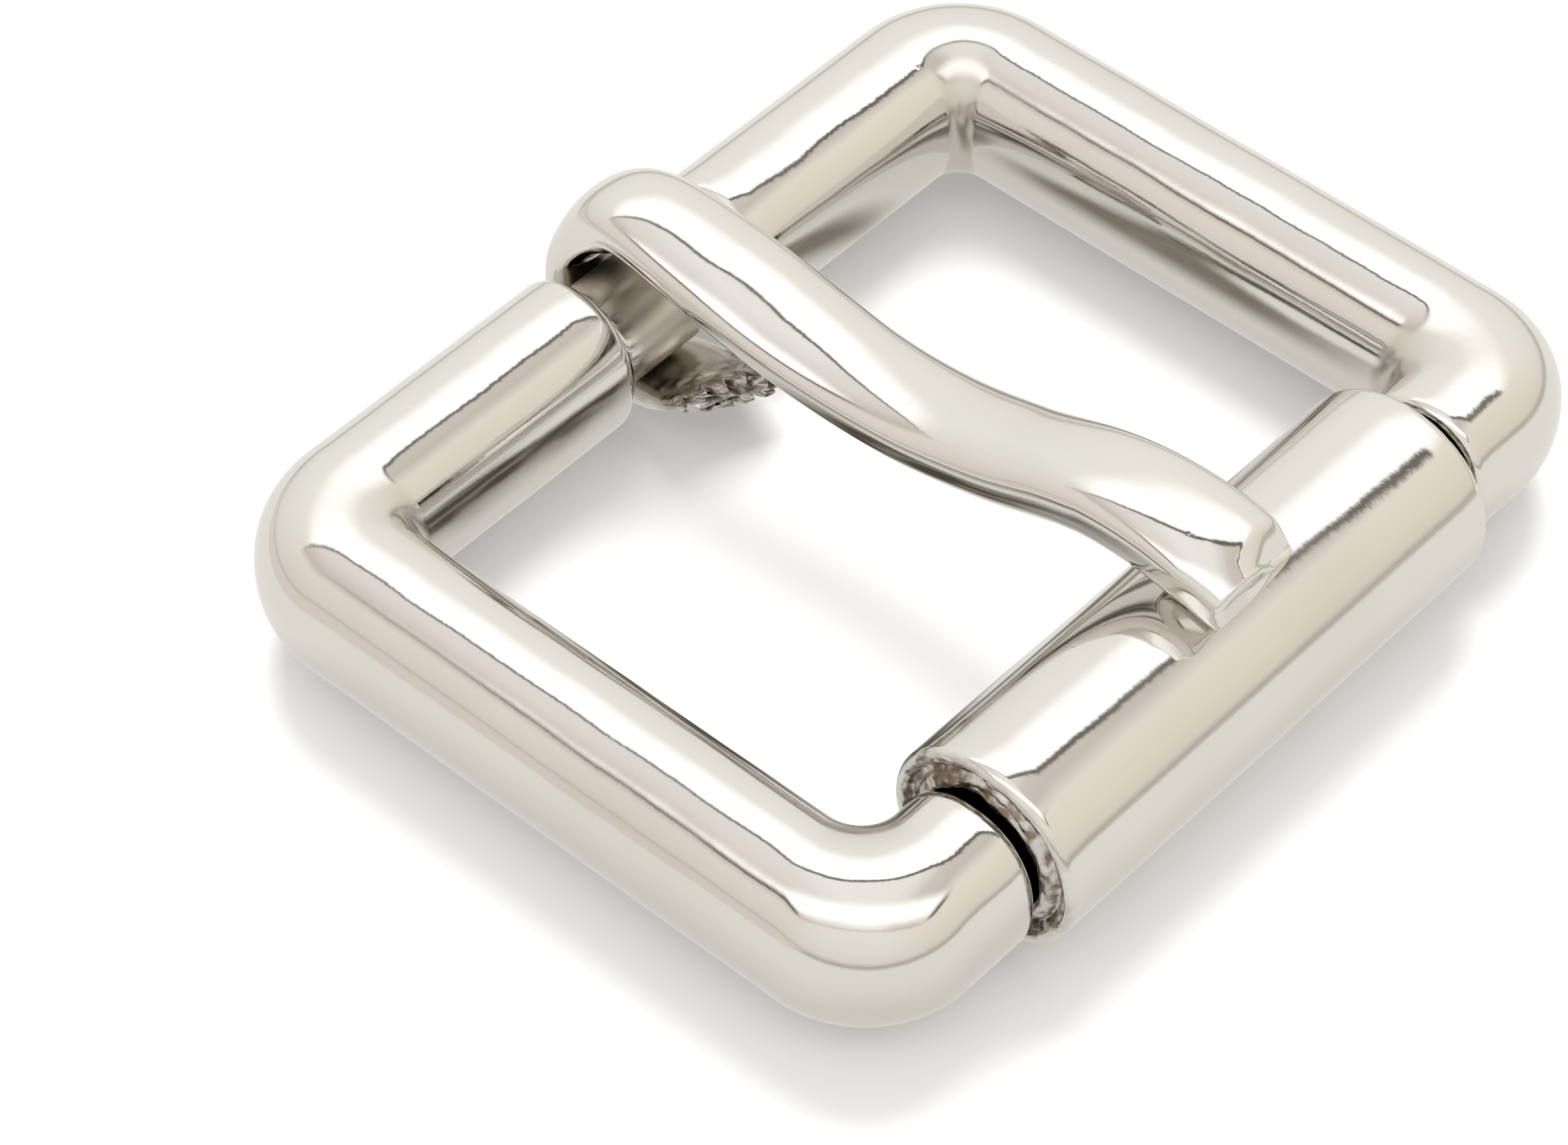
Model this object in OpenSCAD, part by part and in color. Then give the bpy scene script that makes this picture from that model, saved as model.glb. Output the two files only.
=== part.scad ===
// Roller buckle for a flat strap: a cast ring, a rolled tube that turns on the thinned
// front bar, and a prong whose loop wraps the waist of the rear bar.
// Millimetres. X runs along the prong from the rear bar to the roller, Y along the bars,
// Z up. The surface that the buckle lies on is Z = 0.

/* [Ring] */
// Clear width between the two side bars, which takes the strap
opening_w = 25.5; // [18:0.5:40]
// Distance from the prong's pivot to the roller's axis
axis_span = 23; // [20:0.1:34]
// Width of the bars, seen from above
bar_w = 4.9; // [4.6:0.05:5.6]
// Height of the bars
bar_h = 5.6; // [5.2:0.05:6]
// Outside corner radius beside the rear bar
rear_corner_r = 4.5; // [3.4:0.1:6]
// Outside corner radius beside the roller
front_corner_r = 4.1; // [3.4:0.1:6]
// Inside corner radius beside the rear bar
rear_inner_r = 0.6; // [0.3:0.1:2]
// Inside corner radius beside the roller
front_inner_r = 1.1; // [0.3:0.1:1.6]
// Rounding of the two shoulders beside the prong's loop
shoulder_r = 0.5; // [0.3:0.1:0.8]
// Rounding of the two shoulders beside the roller
pin_shoulder_r = 0.4; // [0.1:0.05:0.6]

/* [Waist] */
// Radius of the round waist that the prong turns on
waist_r = 1.85; // [1.5:0.05:1.95]
// Side play of the prong between the waist's shoulders, on each side
prong_play = 0.9; // [0.5:0.1:2]
// Radius of the hollow fillet at each end of the waist
waist_fillet_r = 0.4; // [0.2:0.05:0.6]

/* [Roller] */
// Outside radius of the roller
roller_r = 3.45; // [3.3:0.05:3.8]
// Wall of the rolled sheet
roller_wall = 1.25; // [0.9:0.05:1.4]
// Distance from a side bar to the shoulder beside the roller
shoulder_inset = 2.15; // [1.8:0.05:3]
// Total end play between the roller and the shoulders
roller_play = 1.1; // [0.8:0.1:2.4]
// How far the roller has slid from the middle
roller_shift = -0.3; // [-0.3:0.05:0.3]
// Rounding of the roller's outer end edges
roller_edge_r = 0.35; // [0.1:0.05:0.5]
// Width of the seam where the rolled sheet meets
seam_w = 0.12; // [0.08:0.02:0.3]
// Direction of the seam around the roller, from +X upwards
seam_angle = 205; // [150:5:240]
// Radial clearance under the pin, where it rests in the roller
pin_clearance = 0.05; // [0.02:0.01:0.1]
// Radius of the pin that the roller turns on
pin_r = 1.75; // [1.4:0.05:1.9]

/* [Prong] */
// Width of the prong's arm
prong_w = 3.8; // [3:0.1:4.4]
// Thickness of the arm where it lies on the roller
prong_t = 2.4; // [1.8:0.1:2.8]
// Width of the loop round the waist
loop_w = 3.5; // [2.8:0.1:4.2]
// Thickness of the loop's crown
crown_t = 2.05; // [1.6:0.05:2.4]
// Thickness of the loop behind the waist
back_t = 1.3; // [1.1:0.05:1.6]
// Open height between the waist and the loop's crown
crown_gap = 1.15; // [0.6:0.05:1.4]
// Running clearance between the waist and the loop
loop_clearance = 0.06; // [0.04:0.01:0.1]
// How far the arm's middle dips below the loop's crown
arm_dip = 1.1; // [0.6:0.1:1.6]
// How far the prong reaches past the roller's axis
tip_reach = 1.5; // [0.8:0.1:2]
// How far the tip's end bends down in front of the roller's axis
tip_droop = 0.36; // [0:0.02:0.5]
// Gap between the tip and the roller at rest
tip_gap = 0.03; // [0.02:0.01:0.1]
// How far the crimped tail reaches in front of the pivot
tail_reach = 4.2; // [3.8:0.1:5]
// Slant of the tail's cut end, seen from above
tail_slant = 24; // [0:1:35]

/* [Hidden] */
$fn = 64;
eps = 0.01;
// Exponent of the bars' rounded section, 2 for an ellipse
section_power = 2.2;
// Points round a section of the ring and of the prong
ring_points = 28;
prong_points = 20;
// Steps round a corner and along a shoulder
corner_steps = 8;
shoulder_steps = 4;
// Steps round an end edge of the roller, and of the prong's line between two rows
edge_steps = 4;
line_steps = 3;

// Roller and pin heights: the roller stands on the surface, and the pin rests in its bore
roller_bore_r = roller_r - roller_wall;
roller_z = roller_r;
mid_z = roller_z - roller_bore_r + pin_r + pin_clearance;
// The loop is carried by the surface too, and its floor carries the waist
floor_t = mid_z - waist_r - loop_clearance;
back_reach = waist_r + loop_clearance + back_t;
// The pivot and the roller's axis stand so that the whole length is centred on the origin
pivot_x = -(axis_span + roller_r - back_reach) / 2;
roller_x = pivot_x + axis_span;
ring_half_w = opening_w / 2 + bar_w;
shoulder_y = opening_w / 2 - shoulder_inset;
roller_len = 2 * shoulder_y - roller_play;
waist_len = prong_w + 2 * prong_play;
rear_outer_x = pivot_x - bar_w / 2;
rear_inner_x = pivot_x + bar_w / 2;
front_inner_x = roller_x - bar_w / 2;
front_outer_x = roller_x + bar_w / 2;

// Heights of the arm's middle line above the pivot
crown_z = waist_r + crown_gap + crown_t / 2;
dip_z = crown_z - arm_dip;
seat_z = roller_z + roller_r + tip_gap + prong_t / 2 - mid_z;

// Unit section with a flatter side than a circle
function signed_power(v, e) = sign(v) * pow(abs(v), e);
function section_unit(count, power) = [
    for (i = [0 : count - 1])
        [signed_power(cos(360 * i / count), 2 / power), signed_power(sin(360 * i / count), 2 / power)]
];

// Faces of a closed skin over equal rings of points, with a flat cap at each end
function skin_faces(rings, count) = concat(
    [[for (i = [0 : count - 1]) i]],
    [for (r = [0 : rings - 2], i = [0 : count - 1])
        [r * count + i, (r + 1) * count + i, (r + 1) * count + (i + 1) % count]],
    [for (r = [0 : rings - 2], i = [0 : count - 1])
        [r * count + i, (r + 1) * count + (i + 1) % count, r * count + (i + 1) % count]],
    [[for (i = [count - 1 : -1 : 0]) (rings - 1) * count + i]]
);

module skin(rings) {
    count = len(rings[0]);
    points = [for (ring = rings, p = ring) p];
    polyhedron(points = points, faces = skin_faces(len(rings), count), convexity = 8);
}

// A station of the ring holds its inner point, its outer point and how far its rim is drawn in
STATION_INNER = 0;
STATION_OUTER = 1;
STATION_DRAWN = 2;

// How far a quarter-round shoulder has drawn in at a share t of its length, 0 at its end
function drawn(t, r) = r * (1 - sqrt(1 - pow(1 - t, 2)));

// Stations along one shoulder, from its face to the full bar
function shoulder_stations(inner_x, outer_x, face_y, r) = [
    for (i = [0 : shoulder_steps])
        let (t = i / shoulder_steps)
        [[inner_x, -face_y - t * r], [outer_x, -face_y - t * r], drawn(t, r)]
];

// Stations of one rounded corner, from its cross bar to the side bar. The side bar lies
// toward +X from the rear corner, and toward -X from the front one.
function corner_stations(inner_x, outer_x, inner_r, outer_r, toward) = [
    for (i = [0 : corner_steps])
        let (a = 90 * i / corner_steps)
        [
            [inner_x + toward * inner_r * (1 - cos(a)), -opening_w / 2 + inner_r * (1 - sin(a))],
            [outer_x + toward * outer_r * (1 - cos(a)), -ring_half_w + outer_r * (1 - sin(a))],
            0
        ]
];

function reversed(list) = [for (i = [len(list) - 1 : -1 : 0]) list[i]];

// Stations of the half ring at -Y, from the waist round the side bar to the roller's pin
function half_ring_stations() = concat(
    shoulder_stations(rear_inner_x, rear_outer_x, waist_len / 2, shoulder_r),
    corner_stations(rear_inner_x, rear_outer_x, rear_inner_r, rear_corner_r, 1),
    reversed(corner_stations(front_inner_x, front_outer_x, front_inner_r, front_corner_r, -1)),
    reversed(shoulder_stations(front_inner_x, front_outer_x, shoulder_y, pin_shoulder_r))
);

// Points of one section of the ring
function ring_section(station) =
    let (
        inner = station[STATION_INNER],
        outer = station[STATION_OUTER],
        centre = (inner + outer) / 2,
        half = (inner - outer) / 2,
        half_w = norm(half),
        across = half / half_w,
        w = half_w - station[STATION_DRAWN],
        h = bar_h / 2 - station[STATION_DRAWN]
    )
    [for (u = section_unit(ring_points, section_power))
        [centre[0] + across[0] * w * u[0], centre[1] + across[1] * w * u[0], mid_z + h * u[1]]];

module half_ring() {
    skin([for (station = half_ring_stations()) ring_section(station)]);
}

// Round bar along Y, centred, whose ends stand in the shoulders
module cross_pin(r, length) {
    rotate([90, 0, 0])
        cylinder(r = r, h = length, center = true);
}

// Hollow fillet between the waist and the shoulder at +Y
module waist_fillet() {
    translate([0, waist_len / 2, 0])
        rotate([90, 0, 0])
            rotate_extrude()
                difference() {
                    square([waist_r + waist_fillet_r, waist_fillet_r]);
                    translate([waist_r + waist_fillet_r, waist_fillet_r])
                        circle(r = waist_fillet_r);
                }
}

module frame() {
    color("gainsboro") {
        for (side = [0, 1])
            mirror([0, side, 0])
                half_ring();
        translate([pivot_x, 0, mid_z]) {
            cross_pin(waist_r, waist_len + shoulder_r);
            for (side = [0, 1])
                mirror([0, side, 0])
                    waist_fillet();
        }
        translate([roller_x, 0, mid_z])
            cross_pin(pin_r, 2 * shoulder_y + pin_shoulder_r);
    }
}

// Half profile of the tube's wall, with the outer end edges rounded
function roller_edge(end, from) = [
    for (i = [0 : edge_steps])
        let (a = from + 90 * i / edge_steps)
        [roller_r - roller_edge_r + roller_edge_r * cos(a), end + roller_edge_r * sin(a)]
];

module roller() {
    half = roller_len / 2;
    color("silver")
        translate([roller_x, roller_shift, roller_z])
            difference() {
                rotate([-90, 0, 0])
                    rotate_extrude()
                        polygon(concat(
                            [[roller_bore_r, half], [roller_bore_r, -half]],
                            roller_edge(-half + roller_edge_r, -90),
                            roller_edge(half - roller_edge_r, 0)
                        ));
                rotate([0, -seam_angle, 0])
                    translate([0, -half - eps, -seam_w / 2])
                        cube([roller_r + eps, roller_len + 2 * eps, seam_w]);
            }
}

// The prong's middle line is a smooth curve through rows. Each row has the place along X and Z
// from the pivot, the half width and the half thickness. The tables hold these as shares.
LINE_X = 0;
LINE_Z = 1;
LINE_W = 2;
LINE_T = 3;

// The tail under the arm: shares of the tail's reach, of the floor's thickness as the height
// above the floor's middle, of the loop's width and of the floor's thickness
TAIL_SHARES = [
    [1.30, 1.50, 0.45, 0.40],
    [0.70, 0.65, 0.50, 0.43],
    [0.34, 0.16, 0.50, 0.47],
    [0.00, 0.00, 0.48, 0.50]
];
// The loop's back below the pivot and above it: shares of the reach to the back, of the floor's
// or the crown's height, of the loop's width and of the back's thickness
LOW_BACK_SHARES = [
    [0.62, 0.74, 0.47, 0.44],
    [0.97, 0.30, 0.47, 0.49]
];
HIGH_BACK_SHARES = [
    [1.00, 0.25, 0.475, 0.50],
    [0.77, 0.58, 0.485, 0.66]
];
// The crown: shares as above, with the crown's thickness
CROWN_SHARES = [
    [0.37, 0.86, 0.50, 0.54],
    [-0.16, 1.00, 0.525, 0.50]
];
// The arm: shares of the span, of the rise from the dip to the seat, of the arm's width and of
// its thickness
ARM_SHARES = [
    [0.15, 0.37, 0.53, 0.43],
    [0.28, 0.14, 0.54, 0.44],
    [0.41, 0.00, 0.51, 0.46],
    [0.54, 0.08, 0.50, 0.48],
    [0.67, 0.40, 0.50, 0.50],
    [0.80, 0.86, 0.495, 0.50],
    [0.90, 1.03, 0.49, 0.50],
    [1.00, 1.00, 0.485, 0.50]
];
// The tip's end: shares of the arm's width and of its thickness
TIP_W_SHARE = 0.475;
TIP_T_SHARE = 0.47;

// Rows of one table, with the size that each column's share is taken of
function table_rows(table, x, base_z, z, w, t) = [
    for (row = table) [row[LINE_X] * x, base_z + row[LINE_Z] * z, row[LINE_W] * w, row[LINE_T] * t]
];

// Rows of the loop, from the crimped tail under the arm back round the waist to the crown
function loop_rows() =
    let (
        back_x = -(back_reach - back_t / 2),
        floor_z = -(mid_z - floor_t / 2)
    )
    concat(
        table_rows(TAIL_SHARES, tail_reach, floor_z, floor_t, loop_w, floor_t),
        table_rows(LOW_BACK_SHARES, back_x, 0, floor_z, loop_w, back_t),
        table_rows(HIGH_BACK_SHARES, back_x, 0, crown_z, loop_w, back_t),
        table_rows(CROWN_SHARES, back_x, 0, crown_z, loop_w, crown_t)
    );

// Rows of the arm, from the crown to the tip's end
function arm_rows() = concat(
    table_rows(ARM_SHARES, axis_span, dip_z, seat_z - dip_z, prong_w, prong_t),
    [[axis_span + tip_reach, seat_z - tip_droop, TIP_W_SHARE * prong_w, TIP_T_SHARE * prong_t]]
);

// Smooth curve through rows a, b, c and d, between b and c at the share t
function smooth(a, b, c, d, t) =
    0.5 * (2 * b + (c - a) * t + (2 * a - 5 * b + 4 * c - d) * t * t + (3 * b - a - 3 * c + d) * t * t * t);

function smooth_rows(rows) = let (last = len(rows) - 1) concat(
    [for (i = [0 : last - 1], k = [0 : line_steps - 1])
        smooth(rows[max(i - 1, 0)], rows[i], rows[i + 1], rows[min(i + 2, last)], k / line_steps)],
    [rows[last]]
);

// Points of one section of the prong, square to the middle line
function prong_section(rows, i) =
    let (
        a = rows[max(i - 1, 0)],
        b = rows[min(i + 1, len(rows) - 1)],
        along = [b[LINE_X] - a[LINE_X], b[LINE_Z] - a[LINE_Z]],
        normal = [-along[1], along[0]] / norm(along),
        row = rows[i]
    )
    [for (u = section_unit(prong_points, section_power))
        [
            row[LINE_X] + normal[0] * row[LINE_T] * u[1],
            row[LINE_W] * u[0],
            row[LINE_Z] + normal[1] * row[LINE_T] * u[1]
        ]];

module prong_body() {
    rows = smooth_rows(concat(loop_rows(), arm_rows()));
    skin([for (i = [0 : len(rows) - 1]) prong_section(rows, i)]);
}

// Everything in front of the tail's slanted end and below the arm
module tail_cut() {
    arm_clear = crown_z - crown_gap;
    translate([tail_reach, 0, -mid_z])
        rotate([0, 0, -tail_slant])
            translate([0, -loop_w, 0])
                cube([tail_reach, 2 * loop_w, mid_z + arm_clear / 2]);
}

module prong() {
    color("gainsboro")
        translate([pivot_x, 0, mid_z])
            difference() {
                prong_body();
                cross_pin(waist_r + loop_clearance, waist_len);
                tail_cut();
            }
}

frame();
roller();
prong();
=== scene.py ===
"""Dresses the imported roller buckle: cast ring, rolled tube and prong, in bright nickel plate.

Sizes are in millimetres and repeat the part's own source. They turn into metres only where a
mesh, the camera or the lamp is made. The finishes' texture scales count waves in a metre.
X runs along the prong, Y along the bars, Z up.
"""

import logging
import math
from abc import ABC, abstractmethod
from collections.abc import Sequence
from dataclasses import dataclass, field
from enum import Enum

import bmesh
import bpy
import numpy as np
from mathutils import Matrix, Vector, noise


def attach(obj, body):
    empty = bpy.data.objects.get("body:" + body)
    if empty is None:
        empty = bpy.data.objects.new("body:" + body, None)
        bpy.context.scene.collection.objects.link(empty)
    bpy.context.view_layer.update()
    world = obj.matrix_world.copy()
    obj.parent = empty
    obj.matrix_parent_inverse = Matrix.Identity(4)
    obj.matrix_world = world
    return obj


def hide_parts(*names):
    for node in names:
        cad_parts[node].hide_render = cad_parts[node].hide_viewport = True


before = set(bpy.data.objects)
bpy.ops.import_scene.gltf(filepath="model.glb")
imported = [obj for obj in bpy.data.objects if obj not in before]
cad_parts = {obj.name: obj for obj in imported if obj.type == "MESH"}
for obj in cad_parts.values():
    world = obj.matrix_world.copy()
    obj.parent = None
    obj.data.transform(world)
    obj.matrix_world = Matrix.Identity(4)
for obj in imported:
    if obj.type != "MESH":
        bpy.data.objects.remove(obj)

LOG = logging.getLogger("roller_buckle")
MM = 0.001
# Columns of a row of the prong's middle line.
ROW_X, ROW_Z, ROW_W, ROW_T = range(4)
# Power of a section that is a circle or an ellipse.
ROUND = 2.0

# The value where a mask is 0, then the value where it is 1.
Fade = tuple[float, float]
Colour = tuple[float, float, float]
# A value and the colour that a ramp has there.
Stop = tuple[float, Colour]
Socket = bpy.types.NodeSocket


class Slot(Enum):
    """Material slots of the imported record."""

    CAST = "cast_nickel"
    ROLLED = "rolled_nickel"
    PRONG = "prong_nickel"


class Side(Enum):
    """The two halves of the ring, named by the sign of Y."""

    NEAR = -1
    FAR = 1


class Mark(Enum):
    """Point values of a mesh that its finish reads."""

    CUT = "cut_face"
    MATTE = "matte_face"


class Blend(Enum):
    """How a mask goes from 0 to 1."""

    SMOOTH = "SMOOTHSTEP"
    EVEN = "LINEAR"


@dataclass(frozen=True)
class BuckleSizes:
    """Sizes that the three pieces share, as the part's source has them."""

    opening_w: float = 25.5
    axis_span: float = 23.0
    bar_w: float = 4.9
    bar_h: float = 5.6
    waist_r: float = 1.85
    roller_r: float = 3.45
    roller_wall: float = 1.25
    shoulder_inset: float = 2.15
    roller_play: float = 1.1
    roller_shift: float = -0.3
    pin_clearance: float = 0.05
    pin_r: float = 1.75
    prong_w: float = 3.8
    prong_t: float = 2.4
    prong_play: float = 0.9
    loop_clearance: float = 0.06
    back_t: float = 1.3
    tip_gap: float = 0.03
    section_power: float = 2.2

    @property
    def bore_r(self) -> float:
        """Radius of the roller's bore."""
        return self.roller_r - self.roller_wall

    @property
    def mid_z(self) -> float:
        """Height of the ring's middle plane, of the waist and of the pin."""
        return self.roller_r - self.bore_r + self.pin_r + self.pin_clearance

    @property
    def floor_t(self) -> float:
        """Thickness of the prong's loop under the waist."""
        return self.mid_z - self.waist_r - self.loop_clearance

    @property
    def back_reach(self) -> float:
        """Distance from the pivot to the back of the prong's loop."""
        return self.waist_r + self.loop_clearance + self.back_t

    @property
    def pivot_x(self) -> float:
        """Place of the prong's pivot along X."""
        return -(self.axis_span + self.roller_r - self.back_reach) / 2

    @property
    def roller_x(self) -> float:
        """Place of the roller's axis along X."""
        return self.pivot_x + self.axis_span

    @property
    def ring_half_w(self) -> float:
        """Half of the ring's width over both side bars."""
        return self.opening_w / 2 + self.bar_w

    @property
    def shoulder_y(self) -> float:
        """Distance from the middle to the shoulders beside the roller."""
        return self.opening_w / 2 - self.shoulder_inset

    @property
    def roller_len(self) -> float:
        """Length of the roller."""
        return 2 * self.shoulder_y - self.roller_play

    @property
    def waist_half(self) -> float:
        """Half of the waist's length between its shoulders."""
        return self.prong_w / 2 + self.prong_play


@dataclass(frozen=True)
class Grain:
    """Smooth random relief: the length of its waves, its depth, and a seed that shifts it."""

    wave: float
    depth: float
    seed: float

    def at(self, point: Sequence[float]) -> float:
        """Height at a point, from -depth to depth."""
        x, y, z = (v / self.wave for v in point)
        return self.depth * noise.noise(Vector((x + self.seed, y - self.seed, z + 2 * self.seed)))


def relief(grains: Sequence[Grain], point: Sequence[float]) -> float:
    """Height that several grains give together at a point."""
    return sum(grain.at(point) for grain in grains)


@dataclass(frozen=True)
class Hump:
    """Smooth hump: its height, its place and its width."""

    height: float
    place: float
    width: float

    def at(self, v: float) -> float:
        """Height of the hump at v."""
        return self.height * math.exp(-(((v - self.place) / self.width) ** 2))


def share_between(v: float, start: float, end: float, most: float = 1.0) -> float:
    """Share of the way from start to end at v, kept between 0 and most."""
    return min(max((v - start) / (end - start), 0.0), most)


def soft_switch(v: float | np.ndarray, at: float, steepness: float) -> float | np.ndarray:
    """Smooth switch from 0 to 1 at a place, or from 1 to 0 if the steepness is negative."""
    return 1 / (1 + np.exp(-steepness * (v - at)))


def quarter_turn(steps: int) -> list[float]:
    """Angles from 0 to 90 degrees in even steps, in radians."""
    return [math.radians(90 * k / steps) for k in range(steps + 1)]


def toward(azimuth: float, elevation: float = 0.0) -> Vector:
    """Direction away from the object, in degrees round from -Y and up from the floor."""
    a, e = math.radians(azimuth), math.radians(elevation)
    return Vector((math.sin(a) * math.cos(e), -math.cos(a) * math.cos(e), math.sin(e)))


def linked(name: str, data: bpy.types.ID) -> bpy.types.Object:
    """Makes an object and links it to the scene.

    Args:
        name: the object's name.
        data: its mesh, camera or lamp.

    Returns:
        The object.
    """
    made = bpy.data.objects.new(name, data)
    bpy.context.scene.collection.objects.link(made)
    return made


def section_unit(count: int, power: float) -> np.ndarray:
    """Points round a unit superellipse.

    Args:
        count: number of points.
        power: 2 for a circle, more for a flatter side.

    Returns:
        An array of count rows of two numbers.
    """
    a = 2 * np.pi * np.arange(count) / count
    circle = np.stack([np.cos(a), np.sin(a)], axis=1)
    return np.sign(circle) * np.abs(circle) ** (2 / power)


def catmull(rows: np.ndarray, steps: int) -> np.ndarray:
    """Smooth curve through rows, as the part's source draws it.

    Args:
        rows: one row of numbers for each control point.
        steps: points made between two control points.

    Returns:
        The rows of the smooth curve, with the last control point at its end.
    """
    last = len(rows) - 1
    made = []
    for i in range(last):
        a, b, c, d = rows[max(i - 1, 0)], rows[i], rows[i + 1], rows[min(i + 2, last)]
        bend = 2 * a - 5 * b + 4 * c - d
        twist = 3 * b - a - 3 * c + d
        for k in range(steps):
            t = k / steps
            made.append((2 * b + (c - a) * t + bend * t**2 + twist * t**3) / 2)
    made.append(rows[last])
    return np.array(made)


@dataclass
class SkinMesh:
    """Collects rings of points and the faces between them, and makes one mesh object of them.

    Edges that fold more than fold_angle degrees stay sharp.
    """

    name: str
    fold_angle: float = 50.0
    points: list[np.ndarray] = field(default_factory=list)
    faces: list[tuple[int, ...]] = field(default_factory=list)
    marks: dict[Mark, list[float]] = field(default_factory=lambda: {mark: [] for mark in Mark})

    def ring(
        self, points: np.ndarray, cut: float | Sequence[float] = 0.0, matte: float | Sequence[float] = 0.0
    ) -> list[int]:
        """Adds one ring of points.

        Args:
            points: one row of three millimetre values for each point.
            cut: how torn the surface is, for the whole ring or for each point.
            matte: how far the polisher's wheel missed the surface, likewise.

        Returns:
            The numbers of the new points.
        """
        start = len(self.points)
        self.points.extend(points)
        for mark, value in ((Mark.CUT, cut), (Mark.MATTE, matte)):
            self.marks[mark].extend(np.broadcast_to(value, len(points)).tolist())
        return list(range(start, len(self.points)))

    def bands(self, *rings: list[int]) -> None:
        """Adds the faces between each ring and the next.

        Args:
            rings: the point numbers of each ring, all of equal length.
        """
        for a, b in zip(rings, rings[1:]):
            for i in range(len(a)):
                j = (i + 1) % len(a)
                self.faces.append((a[i], a[j], b[j], b[i]))

    def fan(self, ring: list[int], centre: np.ndarray, cut: float) -> None:
        """Closes a ring with triangles to one point.

        Args:
            ring: point numbers of the ring.
            centre: the point.
            cut: how torn the surface is there.
        """
        middle = self.ring(np.array([centre]), cut)[0]
        for i in range(len(ring)):
            self.faces.append((ring[i], ring[(i + 1) % len(ring)], middle))

    def build(self) -> bpy.types.Object:
        """Makes the mesh object.

        Returns:
            The object, linked to the scene and smooth between its sharp edges.
        """
        mesh = bpy.data.meshes.new(self.name)
        mesh.from_pydata((np.array(self.points) * MM).tolist(), [], self.faces)
        work = bmesh.new()
        work.from_mesh(mesh)
        bmesh.ops.recalc_face_normals(work, faces=work.faces)
        work.to_mesh(mesh)
        work.free()
        mesh.shade_smooth()
        mesh.set_sharp_from_angle(angle=math.radians(self.fold_angle))
        for mark, values in self.marks.items():
            mesh.attributes.new(mark.value, "FLOAT", "POINT").data.foreach_set("value", values)
        return linked(self.name, mesh)


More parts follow.
